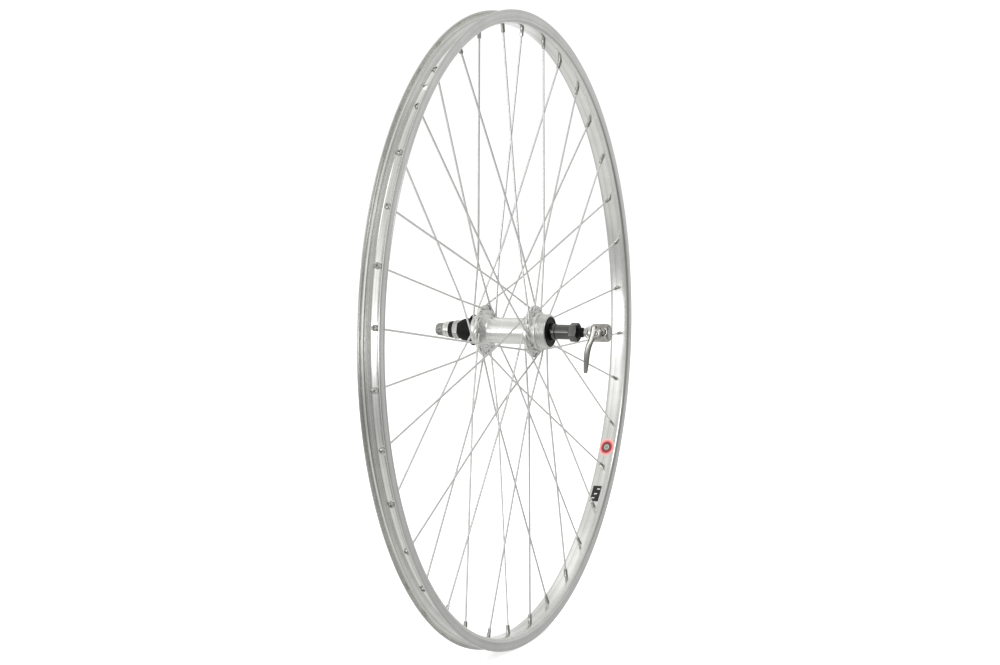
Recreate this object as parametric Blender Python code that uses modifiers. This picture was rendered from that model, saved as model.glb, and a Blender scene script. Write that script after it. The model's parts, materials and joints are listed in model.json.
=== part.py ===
"""Rear bicycle wheel with a screw-on freewheel hub and a quick-release skewer.

The Y axis is the axle: the drive side is at -Y and the non-drive side at +Y.
+X is forward, +Z is up, and the origin is the wheel centre, in the middle plane
of the rim. Turned pieces are listed as (radius, y) profiles about the axle.
Lengths are in millimetres until a mesh or a curve is made from them.
"""

import math

import bmesh
import bpy
from mathutils import Matrix, Vector

MM = 0.001
GAP = 0.3

# Rim: a single-wall clincher with 36 spoke holes.
RIM_RADIUS = 317.0
RIM_HALF_WIDTH = 11.0
RIM_WALL = 1.6
RIM_SKIN_RADIUS = 303.6
TRACK_INNER_RADIUS = 308.0
LIP_CHAMFER = 0.5
SHELF_RADIUS = 310.6
WELL_HALF_WIDTH = 7.6
WELL_FLOOR_HALF_WIDTH = 3.9
RIM_STEPS = 72
SPOKE_COUNT = 36
SPOKE_PITCH = 360.0 / SPOKE_COUNT
FIRST_SPOKE_ANGLE = 86.6
HOLE_STAGGER = 0.7
NIPPLE_HOLE_RADIUS = 2.35
VALVE_ANGLE = FIRST_SPOKE_ANGLE + 4.5 * SPOKE_PITCH
VALVE_HOLE_RADIUS = 4.25

# Hub shell. The drive side carries the freewheel's thread.
FLANGE_RADIUS = 26.0
FLANGE_THICKNESS = 3.0
FLANGE_HOLE_CIRCLE = 22.5
FLANGE_HOLE_RADIUS = 1.3
FLANGE_ROOT_RADIUS = 17.0
FLANGE_FILLET = 6.0
DRIVE_FLANGE_Y = -20.2
NON_DRIVE_FLANGE_Y = 33.2
BARREL_RADIUS = 13.25
HUB_BORE = 10.5
CUP_SEAT_RADIUS = 14.0
CAP_SEAT_RADIUS = 15.2
THREAD_RADIUS = 17.4
SHOULDER_RADIUS = 19.0
SHOULDER_Y = -27.5
DRIVE_END_Y = -37.4
NON_DRIVE_END_Y = 45.2
NON_DRIVE_END_RADIUS = 15.0

# Bearings: nine balls a side between a pressed cup and a cone on the axle.
BALL_RADIUS = 3.175
BALLS_PER_SIDE = 9
BALL_CIRCLE = 9.4
RACE_RADIUS = BALL_RADIUS + 0.375
CUP_LENGTH = 7.5
BALL_DEPTH = 4.4
CUP_START_Y = {-1: -27.4, 1: 36.2}
CAP_START_Y = -36.2
SEAL_RADIUS = 15.7
SEAL_LENGTH = 1.4
CAP_BORE = 8.6

# Axle and the pieces clamped on it. The locknuts' outer faces meet the dropouts.
AXLE_RADIUS = 5.0
AXLE_BORE = 2.9
AXLE_END_Y = 73.0
ON_AXLE_RADIUS = AXLE_RADIUS + GAP
DROPOUT_FACE_Y = 67.5
CONE_COLLAR_RADIUS = 8.0
DRIVE_CONE_END_Y = -43.8
NON_DRIVE_CONE_END_Y = 50.0
DRIVE_SPACER_RADIUS = 7.4
NON_DRIVE_SPACER_RADIUS = 7.0
LOCKNUT_FLATS = 17.0
DRIVE_LOCKNUT_Y = -59.4
NON_DRIVE_LOCKNUT_Y = 61.5
LOCKNUT_TWIST = 17.8
LOCKNUT_CHAMFER = 1.2

# Quick release. The cam lies across the axle's line, along X.
ROD_RADIUS = 2.5
CAM_Y = -90.0
CAM_THROW = 0.8
CAM_RADIUS = 2.8
CAM_SHAFT_RADIUS = 3.6
BOSS_RADIUS = 6.0
CAM_TIP_RADIUS = 2.0
CAM_CLEARANCE = 0.35
HOUSING_RADIUS = 9.0
HOUSING_INNER_Y = -82.8
HOUSING_END_Y = -100.3
HOUSING_CORNER = 4.0
CHAMBER_RADIUS = 6.4
YOKE_HALF_LENGTH = 4.8
YOKE_HALF_HEIGHT = 5.4
YOKE_HALF_WIDTH = 2.2
YOKE_SLOT_RADIUS = 3.3
YOKE_SLOT_HALF_HEIGHT = 3.9
WASHER_RADIUS = 7.3
WASHER_INNER_Y = -78.7
WASHER_OUTER_Y = HOUSING_INNER_Y + GAP
CLAMP_RING_Y = DROPOUT_FACE_Y + GAP
CLAMP_RING_RADIUS = 8.6
NUT_START_Y = 71.8
NUT_SEAT_Y = 78.2
NUT_END_Y = 87.0
NUT_RECESS_RADIUS = 6.9
ROD_END_Y = 84.0
SPRING_WIRE = 0.5

# Spokes: plain 2 mm wire, crossing three others of the same flange.
SPOKE_RADIUS = 1.0
HUB_LEAD = 60.0
RUN_OFFSET = FLANGE_THICKNESS / 2 + SPOKE_RADIUS + 0.25
CROSSING_OFFSET = SPOKE_RADIUS + GAP / 2
FLANGE_RUN = 8.0
ELBOW = 0.7
NIPPLE_RADIUS = 1.95
NIPPLE_LENGTH = 9.5


def clear_scene():
    for obj in list(bpy.data.objects):
        bpy.data.objects.remove(obj, do_unlink=True)


def make_collection(name):
    collection = bpy.data.collections.new(name)
    bpy.context.scene.collection.children.link(collection)
    return collection


def make_material(name, colour, metallic, roughness):
    material = bpy.data.materials.new(name)
    material.use_nodes = True
    shader = material.node_tree.nodes["Principled BSDF"]
    shader.inputs["Base Color"].default_value = (*colour, 1.0)
    shader.inputs["Metallic"].default_value = metallic
    shader.inputs["Roughness"].default_value = roughness
    material.diffuse_color = (*colour, 1.0)
    return material


def add_object(name, data, collection, material=None):
    obj = bpy.data.objects.new(name, data)
    collection.objects.link(obj)
    if material:
        data.materials.append(material)
    return obj


def add_modifier(obj, name, kind, **settings):
    modifier = obj.modifiers.new(name, kind)
    for key, value in settings.items():
        setattr(modifier, key, value)
    return modifier


def signed_area(points):
    """Positive when the outline runs anticlockwise in the (radius, y) plane."""
    pairs = zip(points, points[1:] + points[:1])
    return sum(a[0] * b[1] - b[0] * a[1] for a, b in pairs) / 2


def arc(centre, radius, start, end, count):
    """Points on an arc in the (radius, y) plane, both ends included, angles in degrees."""
    steps = [start + (end - start) * i / (count - 1) for i in range(count)]
    return [(centre[0] + radius * math.cos(math.radians(a)),
             centre[1] + radius * math.sin(math.radians(a))) for a in steps]


def turned(name, profile, material, steps=18, start_angle=0.0):
    """Turns a closed (radius, y) outline about the Y axis."""
    if signed_area(profile) > 0:
        profile = profile[::-1]
    mesh = bpy.data.meshes.new(name)
    rows = [(radius * MM, 0.0, y * MM) for radius, y in profile]
    edges = [(i, (i + 1) % len(rows)) for i in range(len(rows))]
    mesh.from_pydata(rows, edges, [])
    obj = add_object(name, mesh, PARTS, material)
    turn = Matrix.Rotation(-math.pi / 2, 4, "X")
    obj.matrix_world = turn @ Matrix.Rotation(math.radians(-start_angle), 4, "Z")
    add_modifier(obj, "turn", "SCREW", angle=2 * math.pi, steps=steps, render_steps=steps,
                 use_merge_vertices=True, merge_threshold=0.00001, use_smooth_shade=False)
    return obj


def cylinder_into(bm, radius, length, sides, matrix):
    """Adds a closed cylinder, centred on the matrix and along its Z axis, to a bmesh."""
    bmesh.ops.create_cone(bm, cap_ends=True, segments=sides, radius1=radius * MM,
                          radius2=radius * MM, depth=length * MM, matrix=matrix)


def mesh_object(name, bm, collection, material=None):
    mesh = bpy.data.meshes.new(name)
    bm.to_mesh(mesh)
    bm.free()
    return add_object(name, mesh, collection, material)


def cutter_object(name, bm):
    obj = mesh_object(name, bm, CUTTERS)
    obj.hide_render = True
    obj.display_type = "WIRE"
    return obj


def cylinder_cutter(name, radius, length, sides, matrix):
    bm = bmesh.new()
    cylinder_into(bm, radius, length, sides, matrix)
    return cutter_object(name, bm)


def combine(obj, other, operation):
    add_modifier(obj, other.name, "BOOLEAN", operation=operation, object=other,
                 solver="EXACT")


def placed(x, y, z):
    return Matrix.Translation(Vector((x, y, z)) * MM)


def around_axle(radius, y, angle):
    """Point in millimetres at an angle about Y, measured from +X towards +Z."""
    return Vector((radius * math.cos(math.radians(angle)), y,
                   radius * math.sin(math.radians(angle))))


ALONG_Y = Matrix.Rotation(math.pi / 2, 4, "X")
ALONG_X = Matrix.Rotation(math.pi / 2, 4, "Y")


def bent_wire(name, points, material, sides=6, closed=False):
    """Round wire through (point, radius) pairs in millimetres."""
    curve = bpy.data.curves.new(name, "CURVE")
    curve.dimensions = "3D"
    curve.bevel_depth = MM
    curve.bevel_resolution = (sides - 4) // 2
    curve.use_fill_caps = not closed
    spline = curve.splines.new("POLY")
    spline.points.add(len(points) - 1)
    for target, (point, radius) in zip(spline.points, points):
        target.co = (*(point * MM), 1.0)
        target.radius = radius
    spline.use_cyclic_u = closed
    return add_object(name, curve, PARTS, material)


# The rim ---------------------------------------------------------------

def rim_outline():
    lip = RIM_HALF_WIDTH - RIM_WALL
    side = [
        (RIM_SKIN_RADIUS + 0.2, 4.5),
        (RIM_SKIN_RADIUS + 0.9, 7.8),
        (RIM_SKIN_RADIUS + 2.2, 9.9),
        (TRACK_INNER_RADIUS, RIM_HALF_WIDTH),
        (RIM_RADIUS - LIP_CHAMFER, RIM_HALF_WIDTH),
        (RIM_RADIUS, RIM_HALF_WIDTH - RIM_WALL / 2),
        (RIM_RADIUS - LIP_CHAMFER, lip),
        (SHELF_RADIUS + 0.3, lip),
        (SHELF_RADIUS, WELL_HALF_WIDTH),
        (RIM_SKIN_RADIUS + RIM_WALL + 0.6, WELL_FLOOR_HALF_WIDTH),
    ]
    other_side = [(radius, -y) for radius, y in reversed(side)]
    skin = [(RIM_SKIN_RADIUS, 0.0)]
    floor = [(RIM_SKIN_RADIUS + RIM_WALL, 0.0)]
    return skin + side + floor + other_side


def spoke_side(index):
    """-1 for a spoke of the drive-side flange, +1 for one of the other flange."""
    return -1 if index % 2 else 1


def spoke_lead(index):
    """Degrees from the spoke's rim hole to its flange hole, about the axle."""
    return HUB_LEAD if index % 4 >= 2 else -HUB_LEAD


def spoke_angle(index):
    return FIRST_SPOKE_ANGLE - SPOKE_PITCH * index


def radial_matrix(radius, y, angle):
    """Frame at a point of the rim with its Z axis along the radius."""
    point = around_axle(radius, y, angle)
    outward = Matrix.Rotation(math.radians(90 - angle), 4, "Y")
    return placed(*point) @ outward


def make_rim():
    rim = turned("rim", rim_outline(), ALLOY, RIM_STEPS,
                 FIRST_SPOKE_ANGLE + SPOKE_PITCH / 4)
    bm = bmesh.new()
    middle = RIM_SKIN_RADIUS + 1.5
    for index in range(SPOKE_COUNT):
        y = HOLE_STAGGER * spoke_side(index)
        matrix = radial_matrix(middle, y, spoke_angle(index))
        cylinder_into(bm, NIPPLE_HOLE_RADIUS, 7.0, 6, matrix)
    valve = radial_matrix(middle, 0.0, VALVE_ANGLE)
    cylinder_into(bm, VALVE_HOLE_RADIUS, 9.0, 12, valve)
    combine(rim, cutter_object("rim_holes", bm), "DIFFERENCE")


# The hub shell and its bearings ----------------------------------------

def hub_outline():
    half = FLANGE_THICKNESS / 2
    outside = [
        (NON_DRIVE_END_RADIUS, NON_DRIVE_END_Y),
        (NON_DRIVE_END_RADIUS, NON_DRIVE_FLANGE_Y + 4.0),
        (FLANGE_ROOT_RADIUS, NON_DRIVE_FLANGE_Y + half),
        (FLANGE_RADIUS, NON_DRIVE_FLANGE_Y + half),
        (FLANGE_RADIUS, NON_DRIVE_FLANGE_Y - half),
        (FLANGE_ROOT_RADIUS, NON_DRIVE_FLANGE_Y - half),
        (BARREL_RADIUS, NON_DRIVE_FLANGE_Y - FLANGE_FILLET),
        (BARREL_RADIUS, DRIVE_FLANGE_Y + FLANGE_FILLET),
        (FLANGE_ROOT_RADIUS, DRIVE_FLANGE_Y + half),
        (FLANGE_RADIUS, DRIVE_FLANGE_Y + half),
        (FLANGE_RADIUS, DRIVE_FLANGE_Y - half),
        (SHOULDER_RADIUS, DRIVE_FLANGE_Y - half),
        (SHOULDER_RADIUS, SHOULDER_Y),
        (THREAD_RADIUS, SHOULDER_Y),
        (THREAD_RADIUS, DRIVE_END_Y),
    ]
    bore = [
        (CAP_SEAT_RADIUS, DRIVE_END_Y),
        (CAP_SEAT_RADIUS, DRIVE_END_Y + 1.5),
        (CUP_SEAT_RADIUS, DRIVE_END_Y + 1.5),
        (CUP_SEAT_RADIUS, CUP_START_Y[-1] + GAP),
        (HUB_BORE, CUP_START_Y[-1] + GAP),
        (HUB_BORE, CUP_START_Y[1] - GAP),
        (CUP_SEAT_RADIUS, CUP_START_Y[1] - GAP),
        (CUP_SEAT_RADIUS, NON_DRIVE_END_Y),
    ]
    return outside + bore


def flange_y(side):
    return DRIVE_FLANGE_Y if side < 0 else NON_DRIVE_FLANGE_Y


def make_hub_shell():
    hub = turned("hub_shell", hub_outline(), ALLOY, 36)
    bm = bmesh.new()
    for index in range(SPOKE_COUNT):
        angle = spoke_angle(index) + spoke_lead(index)
        point = around_axle(FLANGE_HOLE_CIRCLE, flange_y(spoke_side(index)), angle)
        cylinder_into(bm, FLANGE_HOLE_RADIUS, 6.0, 6, placed(*point) @ ALONG_Y)
    combine(hub, cutter_object("flange_holes", bm), "DIFFERENCE")


def outward(side, points):
    """Moves (radius, depth) points, depth counted out from the cup's start, to one side."""
    return [(radius, CUP_START_Y[side] + side * depth) for radius, depth in points]


def make_bearing(side, label):
    race = (BALL_CIRCLE, BALL_DEPTH)
    cup = [
        (CUP_SEAT_RADIUS - GAP, CUP_LENGTH),
        (CUP_SEAT_RADIUS - GAP, 0.0),
        (7.6, 0.0),
        *arc(race, RACE_RADIUS, -110, 0, 6),
        (BALL_CIRCLE + RACE_RADIUS, CUP_LENGTH),
    ]
    turned(label + "_bearing_cup", outward(side, cup), STEEL)

    end_y = DRIVE_CONE_END_Y if side < 0 else NON_DRIVE_CONE_END_Y
    cone = [
        (ON_AXLE_RADIUS, 1.6),
        (5.9, 1.6),
        *arc(race, RACE_RADIUS, 182, 114, 5),
        (CONE_COLLAR_RADIUS, BALL_DEPTH + 3.5),
        (CONE_COLLAR_RADIUS, abs(end_y - CUP_START_Y[side])),
        (ON_AXLE_RADIUS, abs(end_y - CUP_START_Y[side])),
    ]
    turned(label + "_cone", outward(side, cone), STEEL)

    ball_y = CUP_START_Y[side] + side * BALL_DEPTH
    beads = []
    for ball in range(BALLS_PER_SIDE):
        for along in (-2.85, -1.4, 1.4, 2.85):
            angle = 360.0 * ball / BALLS_PER_SIDE + math.degrees(along / BALL_CIRCLE)
            radius = math.sqrt(BALL_RADIUS ** 2 - along ** 2)
            beads.append((around_axle(BALL_CIRCLE, ball_y, angle), radius))
    bent_wire(label + "_caged_balls", beads, STEEL, sides=6, closed=True)


def make_dust_caps():
    rim_radius = CAP_SEAT_RADIUS - GAP
    drive = [
        (rim_radius, CAP_START_Y),
        (rim_radius, CAP_START_Y - 1.7),
        (CAP_BORE, CAP_START_Y - 1.9),
        (CAP_BORE, CAP_START_Y),
    ]
    turned("drive_side_dust_cap", drive, BLACK, 24)
    seal_y = NON_DRIVE_END_Y + GAP
    seal = [
        (SEAL_RADIUS, seal_y + SEAL_LENGTH),
        (SEAL_RADIUS, seal_y),
        (CUP_SEAT_RADIUS - GAP, seal_y),
        (CUP_SEAT_RADIUS - GAP, seal_y - SEAL_LENGTH),
        (CUP_SEAT_RADIUS - GAP - 1.0, seal_y - SEAL_LENGTH),
        (CUP_SEAT_RADIUS - GAP - 1.0, seal_y),
        (CAP_BORE, seal_y),
        (CAP_BORE, seal_y + SEAL_LENGTH),
    ]
    turned("non_drive_side_dust_cap", seal, BLACK, 20)


# The axle and what is clamped on it ------------------------------------

def tube(name, outer, inner, start_y, end_y, material, steps=18):
    outline = [(outer, start_y), (outer, end_y), (inner, end_y), (inner, start_y)]
    return turned(name, outline, material, steps)


def make_locknut(name, inner_y, outer_y, material):
    """Hexagon nut, chamfered where it meets the dropout."""
    side = 1 if outer_y > 0 else -1
    corner = LOCKNUT_FLATS / math.sqrt(3)
    blank = [
        (corner, inner_y),
        (corner, outer_y - side * LOCKNUT_CHAMFER),
        (LOCKNUT_FLATS / 2 - 0.2, outer_y),
        (1.0, outer_y),
        (1.0, inner_y),
    ]
    nut = turned(name, blank, material, 6, 180 + LOCKNUT_TWIST)
    middle = placed(0, (inner_y + outer_y) / 2, 0) @ ALONG_Y
    combine(nut, cylinder_cutter(name + "_bore", ON_AXLE_RADIUS, 12.0, 24, middle),
            "DIFFERENCE")


def make_axle_stack():
    tube("hollow_axle", AXLE_RADIUS, AXLE_BORE, -AXLE_END_Y, AXLE_END_Y, DARK_STEEL)
    tube("drive_side_spacer", DRIVE_SPACER_RADIUS, ON_AXLE_RADIUS,
         DRIVE_CONE_END_Y - GAP, DRIVE_LOCKNUT_Y + GAP, DARK_STEEL)
    make_locknut("drive_side_locknut", DRIVE_LOCKNUT_Y, -DROPOUT_FACE_Y, DARK_STEEL)
    tube("non_drive_side_spacer", NON_DRIVE_SPACER_RADIUS, ON_AXLE_RADIUS,
         NON_DRIVE_CONE_END_Y + GAP, NON_DRIVE_LOCKNUT_Y - GAP, STEEL)
    make_locknut("non_drive_side_locknut", NON_DRIVE_LOCKNUT_Y, DROPOUT_FACE_Y, STEEL)
    end_y = NON_DRIVE_LOCKNUT_Y - GAP
    boot = [
        (8.4, end_y),
        (9.6, end_y - 1.6),
        (11.2, end_y - 5.0),
        (11.8, end_y - 9.0),
        (11.9, 47.4),
        (10.2, 47.4),
        (8.4, end_y - 6.0),
        (7.4, end_y - 3.0),
        (7.4, end_y),
    ]
    turned("non_drive_side_boot", boot, RUBBER, 20)


# The quick release ------------------------------------------------------

def make_rod():
    """Skewer rod with the yoke that the cam pulls on."""
    yoke_y = CAM_Y - CAM_THROW
    bm = bmesh.new()
    bmesh.ops.create_cube(bm, size=1.0, matrix=placed(0, yoke_y, 0) @ Matrix.Diagonal(
        (2 * YOKE_HALF_WIDTH * MM, 2 * YOKE_HALF_LENGTH * MM, 2 * YOKE_HALF_HEIGHT * MM, 1.0)))
    rod = mesh_object("quick_release_rod", bm, PARTS, STEEL)
    start_y = yoke_y + YOKE_HALF_LENGTH - 1.0
    shank = cylinder_cutter("rod_shank", ROD_RADIUS, ROD_END_Y - start_y, 16,
                            placed(0, (ROD_END_Y + start_y) / 2, 0) @ ALONG_Y)
    combine(rod, shank, "UNION")
    stretch = Matrix.Diagonal((1.0, 1.0, YOKE_SLOT_HALF_HEIGHT / YOKE_SLOT_RADIUS, 1.0))
    slot = placed(0, yoke_y, 0) @ stretch @ ALONG_X
    combine(rod, cylinder_cutter("yoke_slot", YOKE_SLOT_RADIUS, 8.0, 16, slot), "DIFFERENCE")


def make_cam_housing():
    chamber_end = HOUSING_END_Y + 2.0
    outline = [
        (HOUSING_RADIUS - 0.4, HOUSING_INNER_Y),
        (HOUSING_RADIUS, HOUSING_INNER_Y - 0.4),
        *arc((HOUSING_RADIUS - HOUSING_CORNER, HOUSING_END_Y + HOUSING_CORNER),
             HOUSING_CORNER, 0, -90, 5),
        (0.5, HOUSING_END_Y),
        (0.5, chamber_end),
        (CHAMBER_RADIUS, chamber_end),
        (CHAMBER_RADIUS, HOUSING_INNER_Y),
    ]
    housing = turned("cam_housing", outline, STEEL, 24)
    near = placed(-7.0, CAM_Y, 0) @ ALONG_X
    far = placed(7.0, CAM_Y, 0) @ ALONG_X
    for name, radius, matrix in (("cam_bore", CAM_SHAFT_RADIUS, near),
                                 ("cam_tip_bore", CAM_TIP_RADIUS, far)):
        cutter = cylinder_cutter(name, radius + CAM_CLEARANCE, 8.0, 16, matrix)
        combine(housing, cutter, "DIFFERENCE")
    washer = [
        (WASHER_RADIUS - 1.7, WASHER_INNER_Y),
        (WASHER_RADIUS, WASHER_INNER_Y - 1.5),
        (WASHER_RADIUS, WASHER_OUTER_Y),
        (ROD_RADIUS + 0.4, WASHER_OUTER_Y),
        (ROD_RADIUS + 0.4, WASHER_INNER_Y),
    ]
    turned("clamp_washer", washer, STEEL)


# Middle of the lever's arm in x, y and z, then its half widths along Y and X.
LEVER_ARM = (
    (-11.9, -88.2, 7.2, 2.6, 1.9),
    (-11.9, -87.6, 1.0, 3.2, 1.9),
    (-11.9, -85.6, -5.5, 3.2, 1.9),
    (-12.0, -82.7, -12.0, 3.1, 1.9),
    (-11.6, -80.6, -20.0, 3.0, 1.8),
    (-10.2, -79.2, -30.0, 2.6, 1.6),
    (-8.6, -77.9, -39.6, 1.6, 1.2),
)


def make_lever_arm(bm):
    """Lofts the arm's eight-sided section down its middle line."""
    rings = []
    for x, y, z, half_y, half_x in LEVER_ARM:
        ring = []
        for corner in range(8):
            angle = math.radians(22.5 + 45 * corner)
            offset = Vector((half_x * math.sin(angle), half_y * math.cos(angle), 0.0))
            ring.append(bm.verts.new((Vector((x, y, z)) + offset) * MM))
        rings.append(ring)
    for upper, lower in zip(rings, rings[1:]):
        for i in range(8):
            j = (i + 1) % 8
            bm.faces.new((upper[i], upper[j], lower[j], lower[i]))
    bm.faces.new(rings[0])
    bm.faces.new(rings[-1])
    bmesh.ops.recalc_face_normals(bm, faces=bm.faces)


def make_lever():
    """Arm, boss and the eccentric cam shaft, which goes in from the rear."""
    bm = bmesh.new()
    make_lever_arm(bm)
    pivot = placed(0, CAM_Y, 0)
    bmesh.ops.transform(bm, matrix=pivot.inverted(), verts=bm.verts)
    lever = mesh_object("quick_release_lever", bm, PARTS, STEEL)
    lever.matrix_world = pivot
    shaft = (
        ("lever_boss", BOSS_RADIUS, -13.6, -9.5, 0.0, 20),
        ("lever_shaft", CAM_SHAFT_RADIUS, -10.0, -YOKE_HALF_WIDTH - GAP, 0.0, 16),
        ("lever_cam", CAM_RADIUS, -YOKE_HALF_WIDTH - 1.0, YOKE_HALF_WIDTH + GAP, -CAM_THROW, 16),
        ("lever_tip", CAM_TIP_RADIUS, YOKE_HALF_WIDTH - 0.5, 8.3, 0.0, 16),
    )
    for name, radius, start, end, shift, sides in shaft:
        matrix = placed((start + end) / 2, CAM_Y + shift, 0) @ ALONG_X
        combine(lever, cylinder_cutter(name, radius, end - start, sides, matrix), "UNION")


def make_spring(name, start_y, end_y, start_radius, end_radius, turns=2.5):
    """Conical spring, its small end at start_y."""
    steps = int(turns * 10)
    points = []
    for i in range(steps + 1):
        share = i / steps
        radius = start_radius + (end_radius - start_radius) * share
        y = start_y + (end_y - start_y) * share
        points.append((around_axle(radius, y, 360 * turns * share), SPRING_WIRE))
    bent_wire(name, points, STEEL)


def make_adjusting_nut():
    tube("nut_clamp_ring", CLAMP_RING_RADIUS, NUT_RECESS_RADIUS, CLAMP_RING_Y,
         NUT_START_Y - GAP, BLACK)
    nut = [
        (8.3, NUT_START_Y),
        (8.0, NUT_START_Y + 4.0),
        (7.2, NUT_START_Y + 6.4),
        (6.4, NUT_END_Y - 1.5),
        (5.2, NUT_END_Y),
        (ROD_RADIUS + GAP, NUT_END_Y),
        (ROD_RADIUS + GAP, NUT_SEAT_Y),
        (NUT_RECESS_RADIUS, NUT_SEAT_Y),
        (NUT_RECESS_RADIUS, NUT_START_Y),
    ]
    turned("adjusting_nut", nut, STEEL)


# The spokes --------------------------------------------------------------

def spoke_points(index):
    """(point, radius) pairs from the head in the flange to the nipple's head in the rim."""
    side = spoke_side(index)
    lead = spoke_lead(index)
    runs_outside = lead > 0
    face = side if runs_outside else -side
    hub = around_axle(FLANGE_HOLE_CIRCLE, flange_y(side), spoke_angle(index) + lead)
    rim_radius = RIM_SKIN_RADIUS + RIM_WALL / 2
    rim = around_axle(rim_radius, HOLE_STAGGER * side, spoke_angle(index))
    flat = Vector((rim.x - hub.x, 0.0, rim.z - hub.z)).normalized()
    y_axis = Vector((0.0, 1.0, 0.0))

    def beside(distance, offset):
        """Point over the flange, at a distance along the spoke from its hole."""
        return hub + flat * distance + y_axis * face * offset

    # The outermost crossing lies on the line half-way between the two rim holes.
    half = math.radians(SPOKE_PITCH)
    across = FLANGE_HOLE_CIRCLE * math.sin(math.radians(HUB_LEAD))
    along = FLANGE_HOLE_CIRCLE * math.cos(math.radians(HUB_LEAD))
    share = 1 - rim_radius * math.tan(half) / (across + (rim_radius - along) * math.tan(half))
    crossing = hub.lerp(rim, share) - y_axis * face * CROSSING_OFFSET

    to_rim = (rim - crossing).normalized()
    head_foot = FLANGE_THICKNESS / 2 + 0.3
    return [
        (beside(0.0, -head_foot - 1.0), 1.4),
        (beside(0.0, -head_foot - 0.4), 1.9),
        (beside(0.0, -head_foot), SPOKE_RADIUS),
        (beside(0.0, RUN_OFFSET - ELBOW), SPOKE_RADIUS),
        (beside(ELBOW, RUN_OFFSET), SPOKE_RADIUS),
        (beside(FLANGE_RUN, RUN_OFFSET), SPOKE_RADIUS),
        (crossing, SPOKE_RADIUS),
        (rim - to_rim * (NIPPLE_LENGTH + 0.4), SPOKE_RADIUS),
        (rim - to_rim * NIPPLE_LENGTH, NIPPLE_RADIUS),
        (rim + to_rim * 1.5, NIPPLE_RADIUS),
        (rim + to_rim * 1.6, 2.7),
        (rim + to_rim * 4.0, 2.3),
    ]


def make_spokes():
    counts = {}
    for index in range(SPOKE_COUNT):
        side = "drive" if spoke_side(index) < 0 else "non_drive"
        run = "outer" if spoke_lead(index) > 0 else "inner"
        label = f"spoke_{side}_{run}"
        counts[label] = counts.get(label, 0) + 1
        bent_wire(f"{label}_{counts[label]}", spoke_points(index), STEEL)


clear_scene()
PARTS = make_collection("rear_wheel")
CUTTERS = make_collection("cutters")
ALLOY = make_material("polished_alloy", (0.80, 0.81, 0.82), 1.0, 0.25)
STEEL = make_material("bright_steel", (0.62, 0.63, 0.64), 1.0, 0.25)
DARK_STEEL = make_material("dark_steel", (0.12, 0.12, 0.13), 0.9, 0.4)
BLACK = make_material("black_steel", (0.02, 0.02, 0.02), 0.4, 0.45)
RUBBER = make_material("black_rubber", (0.015, 0.015, 0.015), 0.0, 0.7)

make_rim()
make_hub_shell()
make_bearing(-1, "drive_side")
make_bearing(1, "non_drive_side")
make_dust_caps()
make_axle_stack()
make_rod()
make_cam_housing()
make_lever()
make_spring("drive_side_spring", -73.8, WASHER_INNER_Y + 0.9, 3.6, 6.2)
make_spring("non_drive_side_spring", 73.9, NUT_SEAT_Y - 0.9, 3.6, 5.8)
make_adjusting_nut()
make_spokes()
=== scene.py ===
"""Visual model of a rear bicycle wheel with a screw-on hub and a quick release.

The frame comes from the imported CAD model: the Y axis is the axle, with the drive
side at -Y, +X is forward, +Z is up and the origin is the wheel centre. Sizes here
are in millimetres, and they repeat the driving dimensions of the CAD model.
"""
import json
import math

import bmesh
import bpy
from mathutils import Matrix, Vector


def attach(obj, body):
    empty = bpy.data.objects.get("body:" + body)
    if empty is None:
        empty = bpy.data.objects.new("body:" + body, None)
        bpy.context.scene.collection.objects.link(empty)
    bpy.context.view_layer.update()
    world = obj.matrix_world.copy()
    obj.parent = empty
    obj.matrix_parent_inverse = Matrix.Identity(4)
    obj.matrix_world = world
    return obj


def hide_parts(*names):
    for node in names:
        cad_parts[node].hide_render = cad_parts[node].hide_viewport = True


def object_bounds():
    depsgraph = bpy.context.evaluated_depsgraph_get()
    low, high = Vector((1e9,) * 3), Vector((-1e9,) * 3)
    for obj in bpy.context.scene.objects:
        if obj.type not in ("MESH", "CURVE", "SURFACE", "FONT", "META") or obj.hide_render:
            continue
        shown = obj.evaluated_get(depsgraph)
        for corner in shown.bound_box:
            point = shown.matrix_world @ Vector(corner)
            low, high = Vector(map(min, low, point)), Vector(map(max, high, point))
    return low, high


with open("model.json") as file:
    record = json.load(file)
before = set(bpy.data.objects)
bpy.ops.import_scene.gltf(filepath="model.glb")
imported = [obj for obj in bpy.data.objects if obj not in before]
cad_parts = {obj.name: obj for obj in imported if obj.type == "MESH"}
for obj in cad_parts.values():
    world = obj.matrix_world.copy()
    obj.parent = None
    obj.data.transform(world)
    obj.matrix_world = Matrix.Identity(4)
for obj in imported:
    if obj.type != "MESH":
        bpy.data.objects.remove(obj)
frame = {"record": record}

cad_low, cad_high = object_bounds()

MM = 0.001
TAU = 2 * math.pi

RECORD = frame["record"]
BODY_OF = {node: body for body, nodes in RECORD["behaviour"]["bodies"].items()
           for node in nodes}

# Rim
RIM_RADIUS = 317.0
RIM_HALF_WIDTH = 11.0
RIM_SKIN_RADIUS = 303.6
RIM_BED_RADIUS = 305.2
RIM_STEPS = 288
HOLE_RADIUS = 2.12
VALVE_HOLE_RADIUS = 4.25
SPOKE_COUNT = 36
SPOKE_PITCH = 360.0 / SPOKE_COUNT
FIRST_SPOKE_ANGLE = 86.6
HOLE_STAGGER = 0.7
VALVE_ANGLE = FIRST_SPOKE_ANGLE + 4.5 * SPOKE_PITCH

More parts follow.
